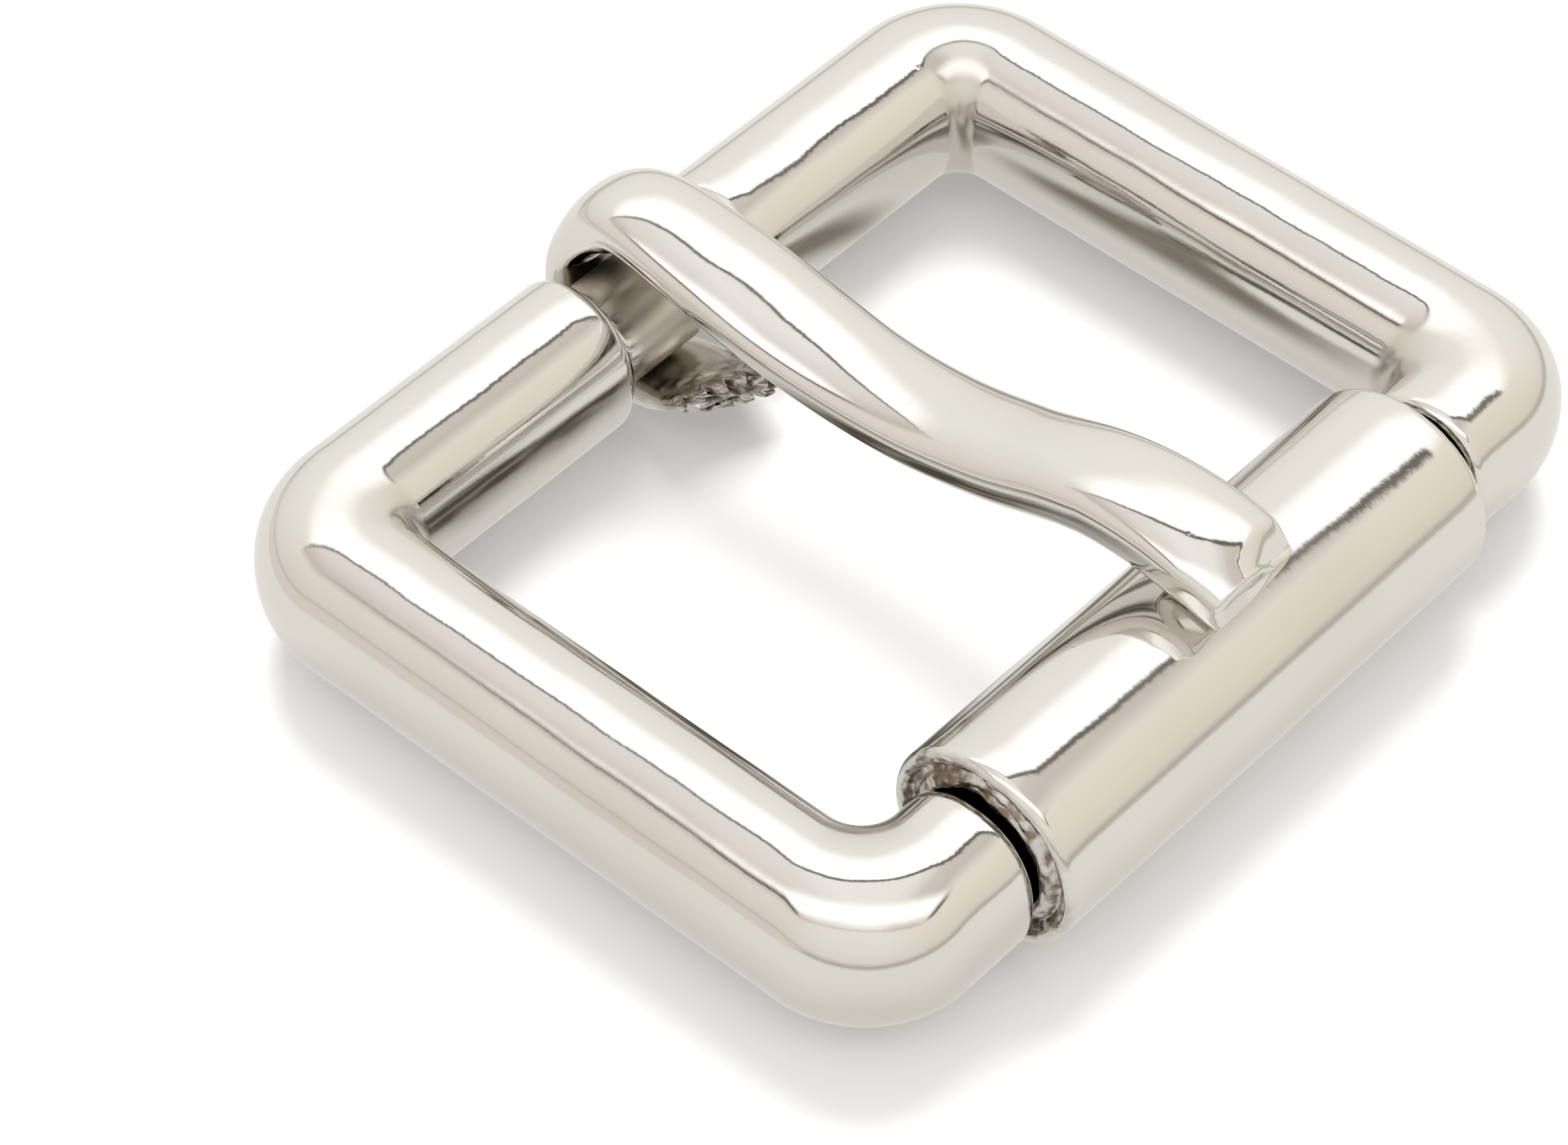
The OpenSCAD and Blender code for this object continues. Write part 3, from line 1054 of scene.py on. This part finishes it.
@dataclass
class Prong(Piece):
    """The prong: its loop round the waist, the arm, the crimped tail and the tip on the roller.

    On the tip, the places of the bevel, the bead and the crease above it are shares of the half
    section, and each side has the place and steepness of a soft switch across it. The spans of
    the tail are those between two control rows.
    """

    node: str = "prong"
    body: str = "prong"
    slot: Slot = Slot.PRONG
    finish: NickelFinish = NickelFinish(name="prong nickel plate", ripple=0.09)
    shares: ProngShares = ProngShares()
    loop_w: float = 3.5
    crown_t: float = 2.05
    crown_gap: float = 1.15
    arm_dip: float = 1.1
    flat_from: float = 16.0
    flat_curve: float = 1.5
    tip_reach: float = 1.5
    tip_droop: float = 0.36
    tip_power: float = 5.0
    tip_crown: float = 0.24
    tip_flare: float = 0.14
    flare_from: float = 0.3
    bevel_length: float = 0.80
    bevel_drop: float = 0.85
    bevel_curve: float = 1.4
    bevel_side: tuple[float, float] = (0.1, 6.0)
    nose_reach: float = 0.20
    nose_lean: float = 0.34
    nose_dents: Grain = Grain(0.8, 0.09, 6.6)
    nose_rim: float = 0.16
    nose_cut: float = 0.12
    bead: Hump = Hump(0.26, -0.12, 0.44)
    bead_side: tuple[float, float] = (0.15, -8.0)
    bead_growth: float = 1.5
    crease: Hump = Hump(0.05, 0.30, 0.13)
    wander: Grain = Grain(0.9, 0.16, 2.7)
    tail_reach: float = 4.2
    tail_slant: float = 24.0
    slant_from: float = 1.6
    overrun: float = 1.2
    tooth_pitch: float = 0.66
    tooth_shift: float = 0.2
    tooth_depth: float = 0.42
    tooth_reach: float = 0.75
    lumps: tuple[Grain, ...] = (Grain(0.75, 0.16, 4.4), Grain(0.3, 0.08, 7.1))
    crimped_spans: int = 2
    torn_spans: float = 1.5
    torn_gain: float = 1.4
    tail_cap: EndCap = EndCap(-1, ((0.97, 0.03), (0.90, 0.06), (0.7, 0.07), (0.5, 0.07), (0.25, 0.07)), 1.0)
    points: int = 120
    steps: int = 12
    rim_steps: int = 8
    nose_steps: int = 10
    nose_step: float = 0.075

    def rows(self) -> np.ndarray:
        """Control rows of the middle line.

        Returns:
            The rows, from the tail back round the waist to the tip.
        """
        s, c = self.sizes, self.shares
        back_x = -(s.back_reach - s.back_t / 2)
        floor_z = -(s.mid_z - s.floor_t / 2)
        crown_z = s.waist_r + self.crown_gap + self.crown_t / 2
        dip_z = crown_z - self.arm_dip
        seat_z = 2 * s.roller_r + s.tip_gap + s.prong_t / 2 - s.mid_z
        parts = (
            (c.tail, self.tail_reach, floor_z, s.floor_t, self.loop_w, s.floor_t),
            (c.low_back, back_x, 0.0, floor_z, self.loop_w, s.back_t),
            (c.high_back, back_x, 0.0, crown_z, self.loop_w, s.back_t),
            (c.crown, back_x, 0.0, crown_z, self.loop_w, self.crown_t),
            (c.arm, s.axis_span, dip_z, seat_z - dip_z, s.prong_w, s.prong_t),
        )
        rows = [
            [row[ROW_X] * x, base + row[ROW_Z] * z, row[ROW_W] * w, row[ROW_T] * t]
            for table, x, base, z, w, t in parts
            for row in table
        ]
        end_x, end_z = s.axis_span + self.tip_reach, seat_z - self.tip_droop
        return np.array(rows + [[end_x, end_z, c.tip_w * s.prong_w, c.tip_t * s.prong_t]])

    def clear_of_waist(self, p: np.ndarray) -> np.ndarray:
        """Moves a point that would cut the waist out to the loop's running clearance.

        Args:
            p: the point.

        Returns:
            The moved point, or the same one if it is clear.
        """
        s = self.sizes
        room = s.waist_r + s.loop_clearance
        x, z = p[0] - s.pivot_x, p[2] - s.mid_z
        far = math.hypot(x, z)
        if not 0.0 < far < room:
            return p
        return np.array([s.pivot_x + x * room / far, p[1], s.mid_z + z * room / far])

    def crimped(self, p: np.ndarray) -> np.ndarray:
        """Gives the tail its slanted end, the teeth that the crimping tool left and soft lumps.

        Args:
            p: a point of the tail.

        Returns:
            The moved point.
        """
        s = self.sizes
        slant = math.tan(math.radians(self.tail_slant))
        along = p[0] - s.pivot_x
        share = share_between(along, self.slant_from, self.tail_reach, self.overrun)
        bite = share_between(along, self.tail_reach - self.tooth_reach, self.tail_reach, self.overrun)
        tooth = max(0.0, math.cos(2 * math.pi * (p[1] + self.tooth_shift) / self.tooth_pitch)) ** 2
        lump = share * relief(self.lumps, p) if p[2] > s.floor_t / 2 else 0.0
        return p + np.array([share * p[1] * slant - bite * tooth * self.tooth_depth, 0.0, lump])

    def unit(self, x: float, flat: float) -> np.ndarray:
        """Unit section with the tip's flat top and bevel.

        Args:
            x: place along the prong.
            flat: how far the top is flat there.

        Returns:
            One row for each point: its place across and up.
        """
        s = self.sizes
        low = section_unit(self.points, s.section_power)
        top = section_unit(self.points, s.section_power + flat * (self.tip_power - s.section_power))
        top[:, 1] *= 1 - self.tip_crown * flat * top[:, 0] ** 2
        end_x = s.axis_span + self.tip_reach
        bevel = self.bevel_drop * share_between(x, end_x - self.bevel_length, end_x) ** self.bevel_curve
        top[:, 1] *= 1 - bevel * soft_switch(top[:, 0], *self.bevel_side)
        return np.where(low[:, 1:] > 0, top, low)

    def ring_at(self, rows: np.ndarray, i: int, push: float = 0.0, shrink: float = 1.0) -> np.ndarray:
        """Points of the section at one row of the middle line.

        Args:
            rows: rows of the smooth middle line.
            i: number of the row.
            push: how far the section is moved along the line.
            shrink: its share of the full size.

        Returns:
            One row of three millimetre values for each point.
        """
        s = self.sizes
        row, before, after = rows[i], rows[max(i - 1, 0)], rows[min(i + 1, len(rows) - 1)]
        along = np.array([after[ROW_X] - before[ROW_X], 0.0, after[ROW_Z] - before[ROW_Z]])
        along = along / np.linalg.norm(along)
        upward = np.array([-along[2], 0.0, along[0]])
        centre = np.array([s.pivot_x + row[ROW_X], 0.0, s.mid_z + row[ROW_Z]]) + along * push
        in_arm = i > len(rows) // 2
        flat = share_between(row[ROW_X], self.flat_from, s.axis_span) ** self.flat_curve if in_arm else 0.0
        flare = 1 + self.tip_flare * share_between(flat, self.flare_from, 1.0)
        points = []
        for across, up in self.unit(row[ROW_X], flat) * shrink:
            wide = row[ROW_W] * across * (flare if across < 0 else 1.0)
            p = self.clear_of_waist(centre + upward * row[ROW_T] * up + np.array([0.0, wide, 0.0]))
            if i < self.crimped_spans * self.steps:
                p = self.crimped(p)
            elif i == len(rows) - 1:
                p = p + along * self.nose_relief(p, across, up, push)
            points.append(p)
        return np.array(points)

    def nose_relief(self, p: np.ndarray, across: float, up: float, push: float) -> float:
        """How far the cut nose stands out along the prong's line: leaned back, dented, with a bead.

        Args:
            p: the point.
            across: its place across the unit section.
            up: its place up the unit section.
            push: how far the closing ring stands in front of the last row.

        Returns:
            The distance in millimetres, negative where the nose is hollow.
        """
        leaned = push * (self.nose_dents.at(p) - self.nose_lean * max(0.0, up))
        bent = up + self.wander.at(p)
        grown = min(1.0, self.bead_growth * push / self.nose_reach)
        raised = soft_switch(across, *self.bead_side) * (self.bead.at(bent) - self.crease.at(bent))
        return leaned + grown * raised

    def torn(self, i: int) -> float:
        """How torn the metal is at row i, most at the tail's end."""
        return min(1.0, self.torn_gain * share_between(i, self.torn_spans * self.steps, 0.0))

    def tip_cap(self) -> EndCap:
        """Closing of the tip.

        Returns:
            The rings of its rounded rim and then those of the cut nose.
        """
        reach, turn = self.nose_reach, quarter_turn(self.rim_steps)[1:]
        rings = [(1 - self.nose_rim * (1 - math.cos(a)), reach * math.sin(a)) for a in turn]
        rings += [(1 - self.nose_rim - self.nose_step * k, reach) for k in range(1, self.nose_steps + 1)]
        return EndCap(1, tuple(rings), self.nose_cut)

    def close(self, skin: SkinMesh, rows: np.ndarray, ring: list[int], cap: EndCap) -> None:
        """Closes one end.

        Args:
            skin: the mesh in the making.
            rows: rows of the smooth middle line.
            ring: point numbers of the end ring.
            cap: how the end closes.
        """
        i = 0 if cap.way < 0 else len(rows) - 1
        for shrink, push in cap.rings:
            inner = skin.ring(self.ring_at(rows, i, cap.way * push, shrink), cap.cut)
            skin.bands(ring, inner)
            ring = inner
        middle = self.ring_at(rows, i, cap.way * cap.rings[-1][1], 0.0).mean(axis=0)
        skin.fan(ring, middle, cap.cut)

    def build(self) -> bpy.types.Object:
        """Makes the prong and seats it.

        Returns:
            The prong's object.
        """
        rows = catmull(self.rows(), self.steps)
        skin = SkinMesh("prong_bar")
        rings = [skin.ring(self.ring_at(rows, i), self.torn(i)) for i in range(len(rows))]
        skin.bands(*rings)
        self.close(skin, rows, rings[0], self.tail_cap)
        self.close(skin, rows, rings[-1], self.tip_cap())
        return self.seat(skin.build())


@dataclass(frozen=True)
class PhotoCamera:
    """The camera that was solved from the photograph's outlines, in degrees and millimetres."""

    elevation: float = 47.448
    azimuth: float = 41.570
    roll: float = 0.364
    distance: float = 164.602
    aim: tuple[float, float, float] = (-0.643, -5.497, 2.713)
    lens: float = 123.07
    sensor: float = 36.0
    clip_start: float = 5.0
    clip_end: float = 10_000.0

    def build(self) -> bpy.types.Object:
        """Makes the camera and gives it to the scene.

        Returns:
            The camera.
        """
        back = toward(self.azimuth, self.elevation)
        right = toward(self.azimuth + 90)
        up = back.cross(right)
        r = math.radians(self.roll)
        right, up = right * math.cos(r) + up * math.sin(r), up * math.cos(r) - right * math.sin(r)
        eye = (Vector(self.aim) + back * self.distance) * MM
        data = bpy.data.cameras.new("photo_camera")
        data.lens, data.sensor_width = self.lens, self.sensor
        data.clip_start, data.clip_end = self.clip_start * MM, self.clip_end * MM
        made = linked("photo_camera", data)
        made.matrix_world = Matrix.Translation(eye) @ Matrix((right, up, back)).transposed().to_4x4()
        bpy.context.scene.camera = made
        return made


@dataclass(frozen=True)
class PaleFloor:
    """The plain pale floor.

    To the camera it is matt paper with a painted glow that lifts its shadows. The plate's
    reflections see a painted reflection of it instead: paper with a dim rim, a warm table beyond
    the near side and painted dark shade between the bars. The painted shade leaves a gap round
    gap_at, and its rear edge steps back further on the far side. Places are in millimetres, and
    streaks are waves in a millimetre.
    """

    half: float = 600.0
    drop: float = 0.02
    roughness: float = 0.9
    specular: float = 0.1
    paper: Colour = (0.78, 0.78, 0.78)
    # Painted glow: light that the paper gives off itself, which lifts its shadows.
    glow: Colour = (0.12, 0.12, 0.12)
    # Painted reflection: what the plate's reflections see of the floor, with a darker rim far out and a
    # warm table beyond the near side.
    painted_reflection: Colour = (0.66, 0.65, 0.62)
    painted_reflection_base: Colour = (0.13, 0.13, 0.13)
    rim: Colour = (0.34, 0.32, 0.26)
    rim_reach: Fade = (48.0, 85.0)
    # Painted reflection of a warm table top: no table is in the scene.
    table: Colour = (0.56, 0.51, 0.45)
    painted_table_slant: float = 0.35
    painted_table_edge: Fade = (-33.5, -38.5)
    painted_table_side: Fade = (10.0, -4.0)
    # Painted dark shade between the bars, which only the plate's reflections see, with lighter streaks and
    # a painted pool of light in it.
    painted_shade: Colour = (0.085, 0.075, 0.06)
    painted_shade_light: Colour = (0.27, 0.25, 0.20)
    painted_shade_base: Colour = (0.0, 0.0, 0.0)
    painted_shade_rear: Fade = (-8.8, -4.8)
    painted_shade_back: float = 2.6
    painted_shade_back_at: Fade = (6.0, 10.0)
    painted_shade_front: Fade = (9.5, 0.0)
    painted_shade_near: Fade = (-12.5, -8.0)
    painted_shade_far: Fade = (11.8, 9.0)
    gap_at: tuple[float, float, float] = (1.5, 2.0, 0.0)
    gap: Fade = (2.8, 6.0)
    streaks: float = 0.42
    streak_detail: float = 0.5
    streak: Fade = (0.38, 0.64)
    painted_light_from: Fade = (0.0, 6.0)
    painted_light: float = 0.85

    def build(self) -> None:
        """Makes the floor, which isn't part of the object."""
        mesh = bpy.data.meshes.new("studio_floor")
        h, z = self.half * MM, -self.drop * MM
        mesh.from_pydata([(-h, -h, z), (h, -h, z), (h, h, z), (-h, h, z)], [], [(0, 1, 2, 3)])
        mesh.materials.append(self.material())
        floor = linked("studio_floor", mesh)

    def material(self) -> bpy.types.Material:
        """Builds the floor's material: paper with a painted glow, and a painted reflection for the plate.

        Returns:
            The material.
        """
        made = bpy.data.materials.new("pale floor")
        sheet = NodeSheet.emptied(made)
        metres = sheet.add("ShaderNodeTexCoord").outputs["Object"]
        scaled = sheet.add("ShaderNodeVectorMath", {0: metres, "Scale": 1 / MM}, operation="SCALE")
        place = scaled.outputs[0]
        x, y, _ = sheet.add("ShaderNodeSeparateXYZ", {0: place}).outputs
        # Mask of the painted dark shade between the bars.
        back = sheet.math("MULTIPLY", sheet.step(y, *self.painted_shade_back_at), self.painted_shade_back)
        between = sheet.fades(
            (sheet.math("ADD", x, back), self.painted_shade_rear),
            (x, self.painted_shade_front),
            (y, self.painted_shade_near),
            (y, self.painted_shade_far),
            (sheet.vector("DISTANCE", place, self.gap_at), self.gap),
        )
        # Lighter streaks and a painted pool of light in the painted shade.
        streaks = sheet.step(sheet.noise(place, self.streaks, self.streak_detail), *self.streak)
        painted_light = sheet.math("MULTIPLY", sheet.step(y, *self.painted_light_from), self.painted_light)
        painted_shade = sheet.mix(sheet.math("MAXIMUM", streaks, painted_light), self.painted_shade, self.painted_shade_light)
        # Painted reflection of a warm table beyond the near side, and of a dim rim far out.
        slanted = sheet.math("ADD", sheet.math("MULTIPLY", x, self.painted_table_slant), y)
        beyond = sheet.fades((slanted, self.painted_table_edge), (x, self.painted_table_side))
        seen = sheet.mix(sheet.step(sheet.length(x, y), *self.rim_reach), self.painted_reflection, self.rim)
        seen = sheet.mix(beyond, seen, self.table)
        seen = sheet.mix(between, seen, painted_shade)
        seen_base = sheet.mix(between, self.painted_reflection_base, self.painted_shade_base)
        # Camera rays see the paper and its painted glow; the plate's reflections see only the painted
        # reflection and painted shade.
        painted_reflection = sheet.add("ShaderNodeLightPath").outputs["Is Glossy Ray"]
        sheet.surface(
            {
                "Base Color": sheet.mix(painted_reflection, self.paper, seen_base),
                "Roughness": self.roughness,
                "Specular IOR Level": self.specular,
                "Emission Color": sheet.mix(painted_reflection, self.glow, seen),
                "Emission Strength": 1.0,
            }
        )
        return made


@dataclass(frozen=True)
class BackLamp:
    """A wide soft lamp behind the object, which the plate doesn't mirror.

    It is given in degrees, millimetres and watts.
    """

    azimuth: float = 221.57
    elevation: float = 52.0
    distance: float = 360.0
    size: float = 260.0
    power: float = 1.9

    def build(self) -> None:
        """Makes the lamp."""
        data = bpy.data.lights.new("back_lamp", "AREA")
        data.shape, data.size, data.energy = "DISK", self.size * MM, self.power
        made = linked("back_lamp", data)
        way = toward(self.azimuth, self.elevation)
        made.location = way * self.distance * MM
        made.rotation_euler = way.to_track_quat("Z", "Y").to_euler()
        made.visible_glossy = False


@dataclass(frozen=True)
class LightTent:
    """The light tent: a white back wall, a ceiling panel with dark edges and warm side walls.

    Places overhead are given on a plane one unit above the object: near is toward the camera
    and right to the camera's right. Colours are the light that the tent sends from there. The
    walls' stops are degrees round from -Y, and those of their height are the ray's rise.
    """

    camera_azimuth: float = 41.57
    lowest_rise: float = 0.03
    white: Colour = (1.55, 1.55, 1.55)
    edge: Colour = (0.14, 0.13, 0.11)
    far_edge: float = -0.415
    far_bend: float = 0.14
    far_seam: Fade = (-0.01, 0.01)
    wall_reach: Fade = (1.25, 0.70)
    panel_near: Fade = (1.05, 0.55)
    panel_left: Fade = (-1.70, -1.20)
    panel_right: Fade = (1.25, 0.95)
    middle: float = -0.06
    glow_beside: Fade = (1.04, 0.86)
    glow_far: Fade = (0.0, 0.30)
    glow_near: Fade = (0.80, 0.42)
    line_w: Fade = (0.042, 0.012)
    line_left: Fade = (-1.4, -0.9)
    line_right: Fade = (1.15, 0.95)
    line_growth: Fade = (-2.2, 0.2)
    side_at: float = 1.10
    side_w: Fade = (0.11, 0.03)
    side_far: Fade = (0.05, 0.38)
    side_near: Fade = (0.85, 0.60)
    side_dark: float = 0.9
    rim_at: float = 0.84
    rim_w: Fade = (0.07, 0.01)
    rim_beside: Fade = (1.10, 1.00)
    rim_dark: float = 0.22
    ceiling_half: float = 1.5
    ceiling: tuple[Stop, ...] = (
        (-1.50, (0.84, 0.78, 0.71)),
        (-1.18, (0.72, 0.665, 0.60)),
        (-0.97, (0.79, 0.74, 0.68)),
        (-0.80, (0.88, 0.82, 0.775)),
        (-0.62, (0.95, 0.90, 0.87)),
        (-0.35, (0.97, 0.95, 0.94)),
        (-0.10, (1.08, 1.08, 1.06)),
        (0.20, (1.06, 1.05, 1.02)),
        (0.42, (0.80, 0.74, 0.69)),
        (0.72, (0.74, 0.69, 0.63)),
        (0.92, (0.89, 0.83, 0.77)),
        (1.15, (0.99, 0.93, 0.87)),
    )
    walls: tuple[Stop, ...] = (
        (-180, (1.00, 0.97, 0.91)),
        (-150, (1.00, 0.995, 0.95)),
        (-110, (0.995, 1.005, 0.96)),
        (-80, (0.95, 0.93, 0.87)),
        (-50, (0.90, 0.85, 0.79)),
        (-15, (0.91, 0.86, 0.79)),
        (12, (0.95, 0.93, 0.89)),
        (60, (0.95, 0.93, 0.89)),
        (85, (0.92, 0.88, 0.79)),
        (140, (0.93, 0.88, 0.76)),
        (165, (0.98, 0.93, 0.86)),
        (180, (1.00, 0.97, 0.91)),
    )
    wall_rise: Fade = (-0.2, 0.8)
    wall_height: tuple[Stop, ...] = (
        (-0.2, (0.9, 0.9, 0.9)),
        (0.015, (0.76, 0.76, 0.76)),
        (0.07, (0.93, 0.93, 0.93)),
        (0.3, (1.0, 1.0, 1.0)),
        (0.65, (1.06, 1.06, 1.06)),
    )

    def build(self) -> None:
        """Paints the tent's light by direction, layer over layer."""
        world = bpy.data.worlds.new("light_tent")
        bpy.context.scene.world = world
        sheet = NodeSheet.emptied(world)
        ray = sheet.add("ShaderNodeTexCoord").outputs["Generated"]
        x, y, z = sheet.add("ShaderNodeSeparateXYZ", {0: ray}).outputs
        rise = sheet.math("MAXIMUM", z, self.lowest_rise)
        near, right = (
            sheet.math("DIVIDE", sheet.vector("DOT_PRODUCT", ray, toward(self.camera_azimuth + turn)), rise)
            for turn in (0, 90)
        )
        bow = sheet.math("POWER", sheet.math("MAXIMUM", right, 0.0), 2.0)
        bow = sheet.math("MULTIPLY", bow, self.far_bend)
        from_far = sheet.math("SUBTRACT", sheet.math("SUBTRACT", near, self.far_edge), bow)
        beside = sheet.distance(right, self.middle)
        wall = sheet.fades((sheet.length(near, right), self.wall_reach), (from_far, self.far_seam[::-1]))
        panel = sheet.fades(
            (from_far, self.far_seam),
            (near, self.panel_near),
            (right, self.panel_left),
            (right, self.panel_right),
        )
        glow = sheet.fades((near, self.glow_far), (near, self.glow_near), (beside, self.glow_beside))
        line = sheet.fades(
            (sheet.distance(from_far, 0.0), self.line_w),
            (right, self.line_left),
            (right, self.line_right),
            (right, self.line_growth),
        )
        side = sheet.fades(
            (sheet.distance(beside, self.side_at), self.side_w),
            (near, self.side_far),
            (near, self.side_near),
            most=self.side_dark,
        )
        rim = sheet.fades(
            (sheet.distance(near, self.rim_at), self.rim_w), (beside, self.rim_beside), most=self.rim_dark
        )
        above = sheet.ramp(right, -self.ceiling_half, self.ceiling_half, self.ceiling)
        colour = self.wall_light(sheet, x, y, z)
        layers = (
            (wall, self.white),
            (panel, above),
            (glow, self.white),
            (line, self.edge),
            (side, self.edge),
            (rim, self.edge),
        )
        for mask, light in layers:
            colour = sheet.mix(mask, colour, light)
        light = sheet.add("ShaderNodeBackground", {"Color": colour, "Strength": 1.0})
        sheet.add("ShaderNodeOutputWorld", {"Surface": light.outputs[0]})

    def wall_light(self, sheet: NodeSheet, x: Socket, y: Socket, z: Socket) -> Socket:
        """Light of the walls: neutral behind the object, warm at the sides.

        Args:
            sheet: the world's nodes.
            x: the ray's part along X.
            y: the ray's part along Y.
            z: the ray's rise.

        Returns:
            The walls' colour in the ray's direction.
        """
        compass = sheet.math("DEGREES", sheet.math("ARCTAN2", x, sheet.math("MULTIPLY", y, -1.0)))
        around = sheet.ramp(compass, -180.0, 180.0, self.walls)
        height = sheet.ramp(z, *self.wall_rise, self.wall_height)
        both = {0: 1.0, 6: around, 7: height}
        return sheet.add("ShaderNodeMix", both, data_type="RGBA", blend_type="MULTIPLY").outputs[2]


def main() -> None:
    """Builds the three pieces, the camera and the studio."""
    logging.basicConfig(level=logging.INFO, format="%(name)s: %(message)s")
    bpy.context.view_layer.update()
    sizes = BuckleSizes()
    for piece in (RingCasting(sizes), RollerTube(sizes), Prong(sizes)):
        made = piece.build()
        LOG.info("%s: %d faces, rides on %s", made.name, len(made.data.polygons), piece.body)
    PhotoCamera().build()
    PaleFloor().build()
    BackLamp().build()
    LightTent().build()
    bpy.context.scene.view_settings.view_transform = "Standard"


if __name__ == "__main__":
    main()
